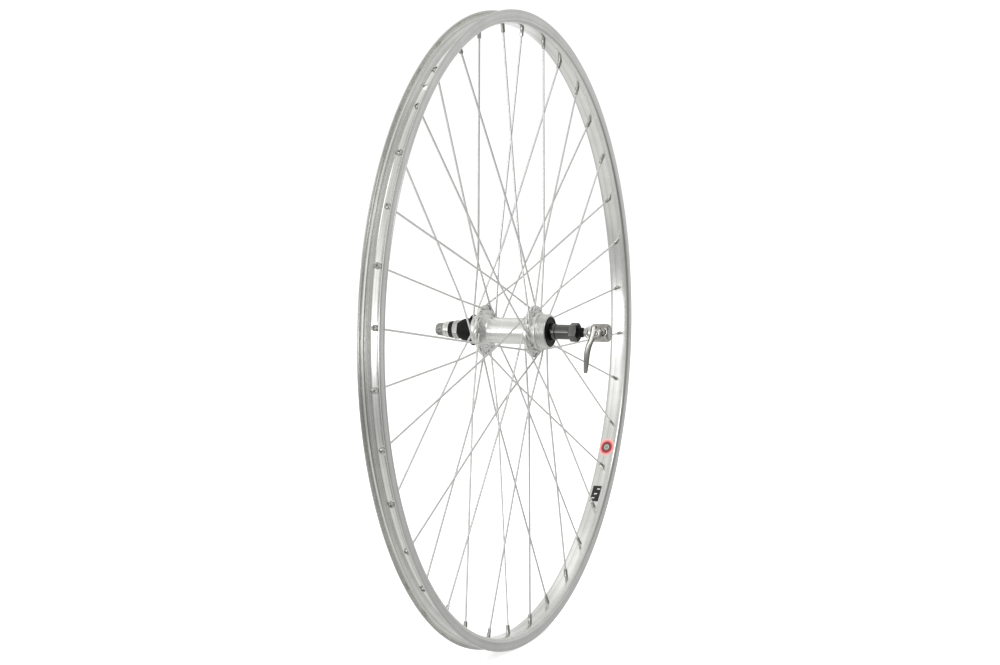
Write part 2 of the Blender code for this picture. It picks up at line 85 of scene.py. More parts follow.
# Hub
FLANGE_RADIUS = 26.0
FLANGE_THICKNESS = 3.0
FLANGE_HOLE_CIRCLE = 22.5
DRIVE_FLANGE_Y = -20.2
NON_DRIVE_FLANGE_Y = 33.2
BARREL_RADIUS = 13.25
SHOULDER_RADIUS = 19.0
SHOULDER_Y = -27.5
THREAD_RADIUS = 17.4
HUB_THREAD_DEPTH = 0.55
HUB_THREAD_PITCH = 25.4 / 24
DRIVE_END_Y = -37.4
NON_DRIVE_END_Y = 45.2

# Bearings
BALL_RADIUS = 3.175
BALLS_PER_SIDE = 9
BALL_CIRCLE = 9.4
BALL_DEPTH = 4.4
CUP_START_Y = {-1: -27.4, 1: 36.2}
CUP_LENGTH = 7.5
CONE_COLLAR_RADIUS = 8.0
CONE_FLATS = 14.3
CONE_FLATS_LENGTH = 3.55

# Axle
AXLE_RADIUS = 5.0
AXLE_BORE = 2.9
AXLE_PITCH = 1.0
AXLE_END_Y = 73.0
DROPOUT_FACE_Y = 67.5
LOCKNUT_FLATS = 17.0
LOCKNUT_TWIST = 17.8
LOCKNUT_CORNER_RADIUS = 9.55
LOCKNUT_FACE_RADIUS = 8.35
LOCKNUT_CHAMFER = 33.0

# Quick release
ROD_RADIUS = 2.5
ROD_PITCH = 0.8
ROD_END_Y = 84.0
YOKE_SLOT_RADIUS = 3.3
YOKE_SLOT_HALF_HEIGHT = 3.9
CAM_Y = -90.0
CAM_THROW = 0.8
HOUSING_RADIUS = 9.0
HOUSING_INNER_Y = -82.8
HOUSING_END_Y = -100.3
PLUG_Y = -95.3
PLUG_Z = 1.6
SPRING_WIRE_RADIUS = 0.5

# Spokes
SPOKE_RADIUS = 1.0
HUB_LEAD = 60.0
RUN_OFFSET = FLANGE_THICKNESS / 2 + SPOKE_RADIUS + 0.25
CROSSING_OFFSET = SPOKE_RADIUS + 0.15
FLANGE_RUN = 8.0
NIPPLE_LENGTH = 9.5
SPOKES_PER_GROUP = 9
SPOKE_GROUPS = ("spoke_non_drive_inner", "spoke_drive_inner",
                "spoke_non_drive_outer", "spoke_drive_outer")


# Camera and studio ----------

CAMERA_DISTANCE = 1.7967
CAMERA_LENS = 64.58
SENSOR_WIDTH = 36.0


def new_object(name, data):
    obj = bpy.data.objects.new(name, data)
    bpy.context.scene.collection.objects.link(obj)
    return obj


def make_camera():
    """Almost level camera at -X, turned a little towards the drive side."""
    azimuth, elevation = math.radians(-66.892), math.radians(3.220)
    yaw, pitch = math.radians(-0.509), math.radians(-0.051)
    back = Vector((math.sin(azimuth) * math.cos(elevation),
                   -math.cos(azimuth) * math.cos(elevation), math.sin(elevation)))
    right = Vector((math.cos(azimuth), math.sin(azimuth), 0.0))
    up = back.cross(right)
    look = -math.cos(yaw) * back + math.sin(yaw) * right
    right = math.cos(yaw) * right + math.sin(yaw) * back
    look, up = (math.cos(pitch) * look + math.sin(pitch) * up,
                math.cos(pitch) * up - math.sin(pitch) * look)
    data = bpy.data.cameras.new("camera")
    data.sensor_width = SENSOR_WIDTH
    data.lens = CAMERA_LENS
    data.clip_start = 0.05
    camera = new_object("camera", data)
    turn = Matrix((right, up, -look)).transposed().to_4x4()
    camera.matrix_world = Matrix.Translation(back * CAMERA_DISTANCE) @ turn
    bpy.context.scene.camera = camera


def add_node(tree, kind, inputs=None, **settings):
    node = tree.nodes.new(kind)
    for key, value in settings.items():
        setattr(node, key, value)
    for key, value in (inputs or {}).items():
        if isinstance(value, bpy.types.NodeSocket):
            tree.links.new(value, node.inputs[key])
        else:
            node.inputs[key].default_value = value
    return node


def calculate(tree, operation, first, second=None):
    inputs = {0: first} if second is None else {0: first, 1: second}
    return add_node(tree, "ShaderNodeMath", inputs, operation=operation).outputs["Value"]


def combine_vectors(tree, operation, first, second):
    return add_node(tree, "ShaderNodeVectorMath", {0: first, 1: second},
                    operation=operation).outputs["Vector"]


def split(tree, vector):
    return add_node(tree, "ShaderNodeSeparateXYZ", {"Vector": vector}).outputs


def spread(tree, value, low, high, start=0.3, end=0.7):
    return add_node(tree, "ShaderNodeMapRange", {
        "Value": value, "From Min": start, "From Max": end,
        "To Min": low, "To Max": high}).outputs["Result"]


def soft_step(tree, value, start, end, low=0.0, high=1.0):
    return add_node(tree, "ShaderNodeMapRange", {
        "Value": value, "From Min": start, "From Max": end, "To Min": low,
        "To Max": high}, interpolation_type="SMOOTHSTEP").outputs["Result"]


def mix_colours(tree, factor, first, second, kind="MIX"):
    """The colour sockets go by number, because several sockets share their names."""
    return add_node(tree, "ShaderNodeMix", {0: factor, 6: first, 7: second},
                    data_type="RGBA", blend_type=kind).outputs[2]


def rgba(colour):
    return (*(colour if isinstance(colour, tuple) else (colour,) * 3), 1.0)


def ramp(tree, factor, stops, interpolation="LINEAR"):
    """Colour ramp; each stop is a position and a colour, or a level of grey."""
    node = add_node(tree, "ShaderNodeValToRGB", {"Fac": factor})
    band = node.color_ramp
    band.interpolation = interpolation
    while len(band.elements) < len(stops):
        band.elements.new(0.5)
    for element, (position, colour) in zip(band.elements, stops):
        element.position = position
        element.color = rgba(colour)
    return node.outputs["Color"]


SOFT_BANKS = (
    # Direction, reach in degrees, and how much light it adds at its middle.
    ((-0.91, 0.34, 0.16), 33.0, 0.44),
    ((-0.86, -0.36, 0.30), 34.0, 0.16),
    ((0.90, 0.40, -0.20), 26.0, 0.26),
    ((0.88, -0.47, 0.05), 13.0, 0.18),
    ((0.32, 0.36, 0.87), 22.0, 0.26),
)


LAMP_TOWARD = Vector((-0.92, 0.39, 0.0))
LAMP_HEIGHT = -0.02
LAMP_GLOW = 1.9
LAMP_CORE_GLOW = 1.6
BACKDROP_STRENGTH = 1.05


def make_world():
    """White backdrop; the metal mirrors a pale room with a dark end and a long lamp."""
    world = bpy.data.worlds.new("studio")
    bpy.context.scene.world = world
    world.use_nodes = True
    tree = world.node_tree
    tree.nodes.clear()
    direction = add_node(tree, "ShaderNodeTexCoord").outputs["Generated"]
    parts = split(tree, direction)
    lit = ramp(tree, spread(tree, parts["Z"], 0.0, 1.0, -1.0, 1.0), (
        (0.00, (0.82, 0.82, 0.80)),
        (0.10, (0.80, 0.80, 0.78)),
        (0.18, (0.75, 0.75, 0.73)),
        (0.25, (0.52, 0.52, 0.51)),
        (0.31, (0.58, 0.59, 0.58)),
        (0.40, (0.65, 0.66, 0.65)),
        (0.50, (0.68, 0.68, 0.67)),
        (0.64, (0.74, 0.74, 0.73)),
        (0.82, (0.80, 0.80, 0.78)),
        (1.00, (0.85, 0.85, 0.83))))
    for toward, reach, glow in SOFT_BANKS:
        facing = add_node(tree, "ShaderNodeVectorMath", {
            0: direction, 1: Vector(toward).normalized()}, operation="DOT_PRODUCT")
        bank = soft_step(tree, facing.outputs["Value"], math.cos(math.radians(reach)),
                         math.cos(math.radians(reach * 0.3)), 0.0, glow)
        lit = combine_vectors(tree, "ADD", lit, bank)
    dark_end = ramp(tree, spread(tree, parts["Y"], 0.0, 1.0, -1.0, 1.0), (
        (0.08, 0.42), (0.20, 0.80), (0.36, 0.86), (0.50, 1.0)))
    lit = combine_vectors(tree, "MULTIPLY", lit, dark_end)
    height = calculate(tree, "ABSOLUTE",
                       calculate(tree, "SUBTRACT", parts["Z"], LAMP_HEIGHT))
    across = add_node(tree, "ShaderNodeVectorMath", {
        0: direction, 1: LAMP_TOWARD}, operation="DOT_PRODUCT").outputs["Value"]
    glow = calculate(tree, "ADD", soft_step(tree, height, 0.20, 0.08, 0.0, LAMP_GLOW),
                     soft_step(tree, height, 0.06, 0.02, 0.0, LAMP_CORE_GLOW))
    lamp = calculate(tree, "MULTIPLY", glow, soft_step(tree, across, 0.90, 0.975))
    lit = combine_vectors(tree, "ADD", lit, lamp)
    mirrored = add_node(tree, "ShaderNodeBackground", {"Color": lit})
    backdrop = add_node(tree, "ShaderNodeBackground", {"Color": (1.0, 1.0, 1.0, 1.0),
                                                       "Strength": BACKDROP_STRENGTH})
    seen = add_node(tree, "ShaderNodeLightPath").outputs["Is Camera Ray"]
    mix = add_node(tree, "ShaderNodeMixShader", {
        0: seen, 1: mirrored.outputs["Background"], 2: backdrop.outputs["Background"]})
    add_node(tree, "ShaderNodeOutputWorld", {"Surface": mix.outputs["Shader"]})


def add_area_light(name, position, size, power, mirrored=False):
    """Soft light aimed at the wheel's centre; only a mirrored one shows in the metal."""
    data = bpy.data.lights.new(name, "AREA")
    data.shape = "RECTANGLE"
    data.size, data.size_y = size
    data.energy = power
    light = new_object(name, data)
    light.visible_glossy = mirrored
    aim = (-Vector(position)).to_track_quat("-Z", "Y")
    light.matrix_world = Matrix.Translation(position) @ aim.to_matrix().to_4x4()


FLOOR_SIZE = 40.0
FLOOR_GAP = 0.0004
FLOOR_GLOW = 0.6


def make_studio():
    add_area_light("key", (-1.5, -1.5, 1.7), (1.2, 1.2), 8.0, True)
    add_area_light("fill", (-1.8, 1.4, 0.9), (1.4, 1.4), 12.0)
    add_area_light("back", (1.6, -0.9, 1.6), (1.4, 1.0), 16.0)
    bpy.ops.mesh.primitive_grid_add(x_subdivisions=8, y_subdivisions=8, size=FLOOR_SIZE,
                                    location=(0.0, 0.0, cad_low.z - FLOOR_GAP))
    floor = bpy.context.active_object
    floor.name = "floor"
    material, tree, shader = new_material("floor_pale")
    mottle = add_node(tree, "ShaderNodeTexNoise", {"Vector": object_place(tree),
                                                   "Scale": 3.0}).outputs["Fac"]
    tree.links.new(ramp(tree, mottle, ((0.3, 0.90), (0.7, 0.94))),
                   shader.inputs["Base Color"])
    shader.inputs["Roughness"].default_value = 0.9
    shader.inputs["Emission Color"].default_value = (1.0, 1.0, 1.0, 1.0)
    shader.inputs["Emission Strength"].default_value = FLOOR_GLOW
    floor.data.materials.append(material)
    floor.visible_glossy = False


# Materials ----------

def new_material(name):
    material = bpy.data.materials.new(name)
    material.use_nodes = True
    return material, material.node_tree, material.node_tree.nodes["Principled BSDF"]


def object_place(tree):
    return add_node(tree, "ShaderNodeTexCoord").outputs["Object"]


def turned_place(tree):
    """Radius and depth of the shading point, so that a texture runs round the axle."""
    parts = split(tree, object_place(tree))
    flat = add_node(tree, "ShaderNodeCombineXYZ", {"X": parts["X"], "Y": parts["Z"]})
    radius = add_node(tree, "ShaderNodeVectorMath", {0: flat.outputs["Vector"]},
                      operation="LENGTH").outputs["Value"]
    return add_node(tree, "ShaderNodeCombineXYZ",
                    {"X": radius, "Y": parts["Y"]}).outputs["Vector"]


def noise(tree, vector, scale, detail=3.0, roughness=0.55):
    return add_node(tree, "ShaderNodeTexNoise", {
        "Vector": vector, "Scale": scale, "Detail": detail,
        "Roughness": roughness}).outputs["Fac"]


def finish(name, bright, dull, metallic, roughness, grain, grain_scale, bump,
           specular=0.5, worn=None, bands=None):
    """Metal, plastic or rubber whose colour, gloss and grain all vary a little.

    grain is "turned" for marks round the axle, or "plain" for marks with no direction.
    worn is the colour of the edges, where the finish has rubbed thin. bands is the
    scale of wider marks, which run round the axle as well.
    """
    material, tree, shader = new_material(name)
    place = object_place(tree)
    marks = turned_place(tree) if grain == "turned" else place
    fine = noise(tree, marks, grain_scale, 4.0, 0.6)
    cloud = noise(tree, place, 60.0, 5.0, 0.6)
    smudge = noise(tree, place, 17.0, 2.0, 0.5)
    colour = ramp(tree, cloud, ((0.30, dull), (0.68, bright)))
    streak = ramp(tree, fine, ((0.30, 0.90), (0.72, 1.0)))
    colour = mix_colours(tree, 1.0, colour, streak, "MULTIPLY")
    if bands:
        wide = ramp(tree, noise(tree, marks, bands, 2.0, 0.5), (
            (0.36, 0.80), (0.50, 0.95), (0.64, 1.0)))
        colour = mix_colours(tree, 1.0, colour, wide, "MULTIPLY")
    if worn:
        edge = add_node(tree, "ShaderNodeNewGeometry").outputs["Pointiness"]
        rubbed = calculate(tree, "MULTIPLY", spread(tree, edge, 0.0, 1.0, 0.53, 0.62), cloud)
        colour = mix_colours(tree, rubbed, colour, rgba(worn))
    tree.links.new(colour, shader.inputs["Base Color"])
    gloss = calculate(tree, "ADD", spread(tree, smudge, *roughness),
                      spread(tree, fine, -0.03, 0.05))
    tree.links.new(gloss, shader.inputs["Roughness"])
    relief = add_node(tree, "ShaderNodeBump", {
        "Height": fine, "Strength": 1.0, "Distance": bump})
    tree.links.new(relief.outputs["Normal"], shader.inputs["Normal"])
    shader.inputs["Metallic"].default_value = metallic
    shader.inputs["Specular IOR Level"].default_value = specular
    return material


def paint_crease_shade(material):
    """Painted shade in the corners of the tyre bed, added to the rim's finish."""
    tree = material.node_tree
    shader = tree.nodes["Principled BSDF"]
    unshaded = shader.inputs["Base Color"].links[0].from_socket
    parts = split(tree, turned_place(tree))
    across = spread(tree, calculate(tree, "ABSOLUTE", parts["Y"]), 0.0, 1.0, 0.0,
                    RIM_HALF_WIDTH * MM)
    # Painted shade: dark lines at the creases of the bed stand in for the shade that falls
    # there.
    crease_shade = ramp(tree, across, ((0.30, 1.0), (0.345, 0.66), (0.40, 1.0), (0.63, 1.0),
                                (0.68, 0.74), (0.74, 1.0)))
    shaded_bed = mix_colours(tree, 1.0, unshaded, crease_shade, "MULTIPLY")
    in_bed = soft_step(tree, parts["X"], (RIM_BED_RADIUS - 0.3) * MM, RIM_BED_RADIUS * MM)
    tree.links.new(mix_colours(tree, in_bed, unshaded, shaded_bed), shader.inputs["Base Color"])


def make_materials():
    return {
        "rim": finish(
            "rim_polished", (0.90, 0.90, 0.88), (0.82, 0.82, 0.80), 1.0, (0.14, 0.24),
            "turned", 1500.0, 3e-6, bands=260.0),
        "track": finish(
            "rim_brake_track", (0.86, 0.86, 0.85), (0.78, 0.78, 0.77), 1.0, (0.22, 0.32),
            "turned", 2600.0, 8e-6, bands=520.0),
        "hub": finish(
            "hub_polished", (0.88, 0.88, 0.86), (0.80, 0.80, 0.78), 1.0, (0.20, 0.30),
            "turned", 2600.0, 3e-6),
        "spoke": finish(
            "spoke_stainless", (0.86, 0.86, 0.85), (0.76, 0.76, 0.75), 0.9, (0.30, 0.40),
            "plain", 900.0, 2e-6),
        "nipple": finish(
            "nipple_nickel", (0.62, 0.61, 0.59), (0.44, 0.43, 0.41), 1.0, (0.12, 0.24),
            "plain", 1800.0, 4e-6),
        "bearing": finish(
            "bearing_steel", (0.72, 0.72, 0.71), (0.60, 0.60, 0.59), 1.0, (0.10, 0.20),
            "turned", 3200.0, 3e-6),
        "cone": finish("cone_steel", 0.17, 0.10, 1.0, (0.10, 0.18), "turned", 3000.0, 5e-6),
        "bright": finish("bright_steel", 0.56, 0.42, 1.0, (0.14, 0.26), "turned", 3000.0, 5e-6),
        "washer": finish(
            "washer_zinc", (0.80, 0.80, 0.79), (0.66, 0.66, 0.65), 1.0, (0.18, 0.30),
            "turned", 3000.0, 5e-6),
        "dark": finish(
            "dark_steel", (0.15, 0.15, 0.148), (0.10, 0.10, 0.099), 1.0, (0.10, 0.18),
            "turned", 2600.0, 5e-6, worn=(0.30, 0.30, 0.29)),
        "nut_dark": finish(
            "dark_nut_steel", (0.17, 0.17, 0.165), 0.10, 1.0, (0.20, 0.34), "turned",
            2600.0, 8e-6, worn=(0.34, 0.34, 0.33)),
        "black": finish(
            "black_steel", 0.010, 0.005, 0.0, (0.26, 0.40), "turned", 2200.0, 8e-6,
            specular=0.10, worn=0.05),
        "lever": finish(
            "lever_steel", (0.46, 0.45, 0.43), (0.30, 0.29, 0.27), 1.0, (0.16, 0.28),
            "plain", 1500.0, 6e-6, worn=(0.70, 0.69, 0.66)),
        "housing": finish(
            "housing_steel", (0.56, 0.55, 0.52), (0.34, 0.33, 0.31), 1.0, (0.14, 0.26),
            "turned", 1700.0, 8e-6, worn=(0.62, 0.61, 0.58)),
        "nut": finish(
            "nut_chrome", (0.84, 0.84, 0.82), (0.72, 0.72, 0.70), 1.0, (0.08, 0.16),
            "turned", 2800.0, 4e-6),
        "nut_dull": finish(
            "nut_dull", (0.36, 0.35, 0.33), (0.26, 0.25, 0.24), 1.0, (0.28, 0.42),
            "turned", 2400.0, 1e-5),
        "spring": finish(
            "spring_chrome", (0.86, 0.86, 0.85), (0.70, 0.70, 0.69), 1.0, (0.08, 0.18),
            "plain", 2200.0, 4e-6),
        "plastic": finish(
            "black_plastic", 0.010, 0.005, 0.0, (0.30, 0.44), "turned", 1700.0, 1e-5,
            specular=0.12),
        "rubber": finish(
            "boot_rubber", 0.012, 0.006, 0.0, (0.50, 0.66), "plain", 2600.0, 2.2e-5,
            specular=0.12),
    }


# Mesh tools ----------

def shade(mesh, angle=32.0):
    for polygon in mesh.polygons:
        polygon.use_smooth = True
    mesh.set_sharp_from_angle(angle=math.radians(angle))


def mesh_piece(name, bm, material, angle=32.0, merge=1e-7):
    bmesh.ops.remove_doubles(bm, verts=bm.verts, dist=merge)
    bmesh.ops.recalc_face_normals(bm, faces=bm.faces)
    mesh = bpy.data.meshes.new(name)
    bm.to_mesh(mesh)
    bm.free()
    obj = new_object(name, mesh)
    mesh.materials.append(material)
    shade(mesh, angle)
    return obj


def around_axle(radius, y, angle):
    """Point in millimetres at an angle in degrees about Y, from +X towards +Z."""
    return Vector((radius * math.cos(math.radians(angle)), y,
                   radius * math.sin(math.radians(angle))))


def curve(start, corner, end, segments):
    """Points of the curve that rounds a corner from start to end."""
    shares = [step / segments for step in range(segments + 1)]
    return [(1 - t) ** 2 * start + 2 * t * (1 - t) * corner + t * t * end for t in shares]


def rounded(outline, segments=4):
    """Closed outline of (radius, y) corners; a third number rounds that corner."""
    points = []
    count = len(outline)
    for i, corner in enumerate(outline):
        here = Vector(corner[:2])
        size = corner[2] if len(corner) > 2 else 0.0
        before = Vector(outline[i - 1][:2]) - here
        after = Vector(outline[(i + 1) % count][:2]) - here
        if size <= 0.0:
            points.append(tuple(here))
            continue
        half = before.angle(after) / 2
        setback = min(size / math.tan(half), before.length * 0.49, after.length * 0.49)
        start = here + before.normalized() * setback
        end = here + after.normalized() * setback
        points += [tuple(point) for point in curve(start, here, end, segments)]
    return points


def bridge(bm, rings, closed):
    """Faces from each ring to the next: on to the first again, or with a cap at each end."""
    for ring, following in zip(rings, rings[1:] + (rings[:1] if closed else [])):
        for i in range(len(ring)):
            j = (i + 1) % len(ring)
            bm.faces.new((ring[i], ring[j], following[j], following[i]))
    if not closed:
        bm.faces.new(rings[0])
        bm.faces.new(rings[-1])


def swept_into(bm, outline_at, steps, start=0.0):
    """Sweeps a closed outline of (radius, y) points round Y; it may change with angle."""
    rings = []
    for step in range(steps):
        angle = start + 360.0 * step / steps
        rings.append([bm.verts.new(around_axle(radius, y, angle) * MM)
                      for radius, y in outline_at(angle)])
    bridge(bm, rings, True)


def swept(name, outline_at, material, steps, start=0.0, angle=32.0):
    bm = bmesh.new()
    swept_into(bm, outline_at, steps, start)
    return mesh_piece(name, bm, material, angle)


def turned(name, outline, material, steps=96, segments=4):
    points = rounded(outline, segments)
    return swept(name, lambda _: points, material, steps)


def cylinder_into(bm, matrix, radius, length, sides):
    bmesh.ops.create_cone(bm, cap_ends=True, segments=sides, radius1=radius * MM,
                          radius2=radius * MM, depth=length * MM, matrix=matrix)


def cylinder(*arguments):
    bm = bmesh.new()
    cylinder_into(bm, *arguments)
    return bm


def placed(x, y, z):
    return Matrix.Translation(Vector((x, y, z)) * MM)


ALONG_Y = Matrix.Rotation(math.pi / 2, 4, "X")
ALONG_X = Matrix.Rotation(math.pi / 2, 4, "Y")


def combine(obj, bm, operation, angle=32.0):
    """Adds the closed shells of a bmesh to an object, or cuts them from it."""
    mesh = bpy.data.meshes.new("tool")
    bmesh.ops.recalc_face_normals(bm, faces=bm.faces)
    bm.to_mesh(mesh)
    bm.free()
    tool = new_object("tool", mesh)
    modifier = obj.modifiers.new("combine", "BOOLEAN")
    modifier.operation = operation
    modifier.object = tool
    modifier.solver = "EXACT"
    graph = bpy.context.evaluated_depsgraph_get()
    result = bpy.data.meshes.new_from_object(obj.evaluated_get(graph))
    obj.modifiers.remove(modifier)
    old = obj.data
    obj.data = result
    result.name = old.name
    bpy.data.meshes.remove(old)
    bpy.data.objects.remove(tool)
    bpy.data.meshes.remove(mesh)
    shade(result, angle)
    return obj


def loft_into(bm, path, sides):
    """Round skin along a path of (point, radius)."""
    points = [Vector(point) for point, _ in path]
    tangents = []
    for i in range(len(points)):
        ahead = points[min(i + 1, len(points) - 1)] - points[max(i - 1, 0)]
        tangents.append(ahead.normalized())
    side = tangents[0].orthogonal().normalized()
    rings = []
    for point, tangent, (_, radius) in zip(points, tangents, path):
        side = (side - tangent * side.dot(tangent)).normalized()
        other = tangent.cross(side)
        ring = []
        for corner in range(sides):
            turn = TAU * corner / sides
            offset = side * math.cos(turn) + other * math.sin(turn)
            ring.append(bm.verts.new((point + offset * radius) * MM))
        rings.append(ring)
    bridge(bm, rings, False)


def bend(points, setbacks, segments=6):
    """Polyline with each inner corner replaced by a curve of the given setback."""
    path = [points[0]]
    for before, here, after, setback in zip(points, points[1:], points[2:], setbacks):
        start = here + (before - here).normalized() * setback
        end = here + (after - here).normalized() * setback
        path += curve(start, here, end, segments)
    path.append(points[-1])
    return path


def finish_faces(obj, material, chosen):
    """Gives the chosen faces of a piece a second material."""
    obj.data.materials.append(material)
    for polygon in obj.data.polygons:
        if chosen(polygon):
            polygon.material_index = 1


def stands_for(obj, node):
    """Rides on the CAD node's body and hides the CAD node, which it replaces."""
    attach(obj, BODY_OF[node])
    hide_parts(node)
    return obj


def goes_with(obj, node):
    """An extra piece that rides with a CAD node and replaces nothing."""
    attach(obj, BODY_OF[node])
    return obj


# Rim ----------

def skin_radius(y):
    """Inner face of the rim: nearly flat, with a tight curve up to each side wall."""
    return RIM_SKIN_RADIUS + 0.15 * (abs(y) / 5.0) ** 2 + 3.0 * (abs(y) / RIM_HALF_WIDTH) ** 9


def rim_half():
    """Outline from the middle of the inner face round to the middle of the tyre bed."""
    face = [(skin_radius(y), y) for y in (0.0, 1.8, 3.6, 5.2, 6.6, 7.6, 8.4, 9.1, 9.7, 10.2,
                                          10.6)]
    side = [
        (307.6, 10.93), (308.3, 11.0), (308.7, 11.0), (308.85, 10.82), (309.2, 10.82),
        (309.35, 11.0), (312.5, 11.0), (316.0, 11.0), (316.6, 10.85), (316.95, 10.5),
        (RIM_RADIUS, 10.1), (316.8, 9.65), (316.3, 9.35), (315.5, 9.2), (314.7, 9.3),
        (314.2, 9.6), (312.4, 9.75), (311.5, 9.6), (311.0, 9.2), (310.8, 8.5),
        (310.6, 7.8), (310.2, 7.35), (308.2, 5.7), (306.2, 4.1), (305.6, 3.5),
        (RIM_BED_RADIUS + 0.08, 2.7),
    ]
    return face + side + [(RIM_BED_RADIUS, 0.0)]


def spoke_side(index):
    return -1 if index % 2 else 1


def spoke_lead(index):
    return HUB_LEAD if index % 4 >= 2 else -HUB_LEAD


def spoke_angle(index):
    return FIRST_SPOKE_ANGLE - SPOKE_PITCH * index


def radial_matrix(radius, y, angle):
    """Frame at a point of the rim with its Z axis along the radius."""
    outward = Matrix.Rotation(math.radians(90 - angle), 4, "Y")
    return placed(*around_axle(radius, y, angle)) @ outward


def make_rim(look):
    half = rim_half()
    other = [(radius, -y) for radius, y in reversed(half[1:-1])]
    outline = half + other
    rim = swept("rim_detail", lambda _: outline, look["rim"], RIM_STEPS,
                FIRST_SPOKE_ANGLE + SPOKE_PITCH / 4, 24.0)
    bm = bmesh.new()
    middle = RIM_SKIN_RADIUS + 1.5
    for index in range(SPOKE_COUNT):
        hole = radial_matrix(middle, HOLE_STAGGER * spoke_side(index), spoke_angle(index))
        cylinder_into(bm, hole, HOLE_RADIUS, 7.0, 24)
    cylinder_into(bm, radial_matrix(middle, 0.0, VALVE_ANGLE), VALVE_HOLE_RADIUS, 9.0, 36)
    combine(rim, bm, "DIFFERENCE", 24.0)

    def on_track(polygon):
        radius = math.hypot(polygon.center.x, polygon.center.z) / MM
        return abs(polygon.center.y) > 10.9 * MM and 309.0 < radius < 316.4

    finish_faces(rim, look["track"], on_track)
    stands_for(rim, "rim")


# Hub ----------

def tooth(phase):
    """Triangle wave from 0 to 1 and back, once per unit of phase."""
    return 1.0 - abs(2.0 * (phase - math.floor(phase)) - 1.0)


THREAD_ROWS_PER_TURN = 6


def thread_rows(start, end, radius, depth, pitch, angle):
    """(radius, y) rows of a right-hand thread, from start to end along Y."""
    count = max(2, round(abs(end - start) / pitch * THREAD_ROWS_PER_TURN))
    rows = []
    for i in range(count + 1):
        share = i / count
        y = start + (end - start) * share
        fade = min(1.0, share * count / 4, (1.0 - share) * count / 4)
        wave = min(1.0, 1.35 * tooth(y / pitch + angle / 360.0))
        rows.append((radius - depth * (1.0 - wave) - depth * 0.6 * (1.0 - fade), y))
    return rows


def make_hub_shell(look):
    half = FLANGE_THICKNESS / 2
    # These two corners only steer the rounding of the ends, and are then left out.
    guides = [(15.2, -50.0), (10.5, 0.0)]
    outside = rounded([
        (15.0, NON_DRIVE_END_Y, 0.5),
        (15.0, NON_DRIVE_FLANGE_Y + 4.2, 1.6),
        (17.4, NON_DRIVE_FLANGE_Y + half, 0.9),
        (FLANGE_RADIUS, NON_DRIVE_FLANGE_Y + half, 0.7),
        (FLANGE_RADIUS, NON_DRIVE_FLANGE_Y - half, 0.7),
        (17.8, NON_DRIVE_FLANGE_Y - half, 1.4),
        (BARREL_RADIUS, NON_DRIVE_FLANGE_Y - 6.5, 3.0),
        (BARREL_RADIUS, DRIVE_FLANGE_Y + 6.5, 3.0),
        (17.8, DRIVE_FLANGE_Y + half, 1.4),
        (FLANGE_RADIUS, DRIVE_FLANGE_Y + half, 0.7),
        (FLANGE_RADIUS, DRIVE_FLANGE_Y - half, 0.7),
        (SHOULDER_RADIUS, DRIVE_FLANGE_Y - half, 0.9),
        (SHOULDER_RADIUS, SHOULDER_Y, 0.35),
        (THREAD_RADIUS - 0.9, SHOULDER_Y, 0.2),
        (THREAD_RADIUS - 0.9, SHOULDER_Y - 0.9, 0.2),
        *guides,
    ], 5)[:-len(guides)]
    bore = [
        (15.2, DRIVE_END_Y), (15.2, DRIVE_END_Y + 1.5), (14.0, DRIVE_END_Y + 1.5),
        (14.0, CUP_START_Y[-1] + 0.3), (10.5, CUP_START_Y[-1] + 0.3),
        (10.5, CUP_START_Y[1] - 0.3), (14.0, CUP_START_Y[1] - 0.3),
        (14.0, NON_DRIVE_END_Y),
    ]

    def outline_at(angle):
        thread = thread_rows(SHOULDER_Y - 1.1, DRIVE_END_Y + 0.3, THREAD_RADIUS,
                             HUB_THREAD_DEPTH, HUB_THREAD_PITCH, angle)
        return outside + thread + [(16.6, DRIVE_END_Y)] + bore

    hub = swept("hub_shell_detail", outline_at, look["hub"], 144, 0.0, 28.0)
    bm = bmesh.new()
    for index in range(SPOKE_COUNT):
        angle = spoke_angle(index) + spoke_lead(index)
        y = DRIVE_FLANGE_Y if spoke_side(index) < 0 else NON_DRIVE_FLANGE_Y
        point = around_axle(FLANGE_HOLE_CIRCLE, y, angle)
        cylinder_into(bm, placed(*point) @ ALONG_Y, SPOKE_RADIUS + 0.25, 6.0, 16)
    combine(hub, bm, "DIFFERENCE", 28.0)
    stands_for(hub, "hub_shell")


def mirrored(side, points):
    """Moves (radius, depth, ...) corners, depth counted out from the cup, to one side."""
    return [(p[0], CUP_START_Y[side] + side * p[1], *p[2:]) for p in points]


def race_arc(race, angles):
    """(radius, depth) points of a ball race of this radius, at angles in degrees."""
    return [(BALL_CIRCLE + race * math.cos(math.radians(angle)),
             BALL_DEPTH + race * math.sin(math.radians(angle))) for angle in angles]


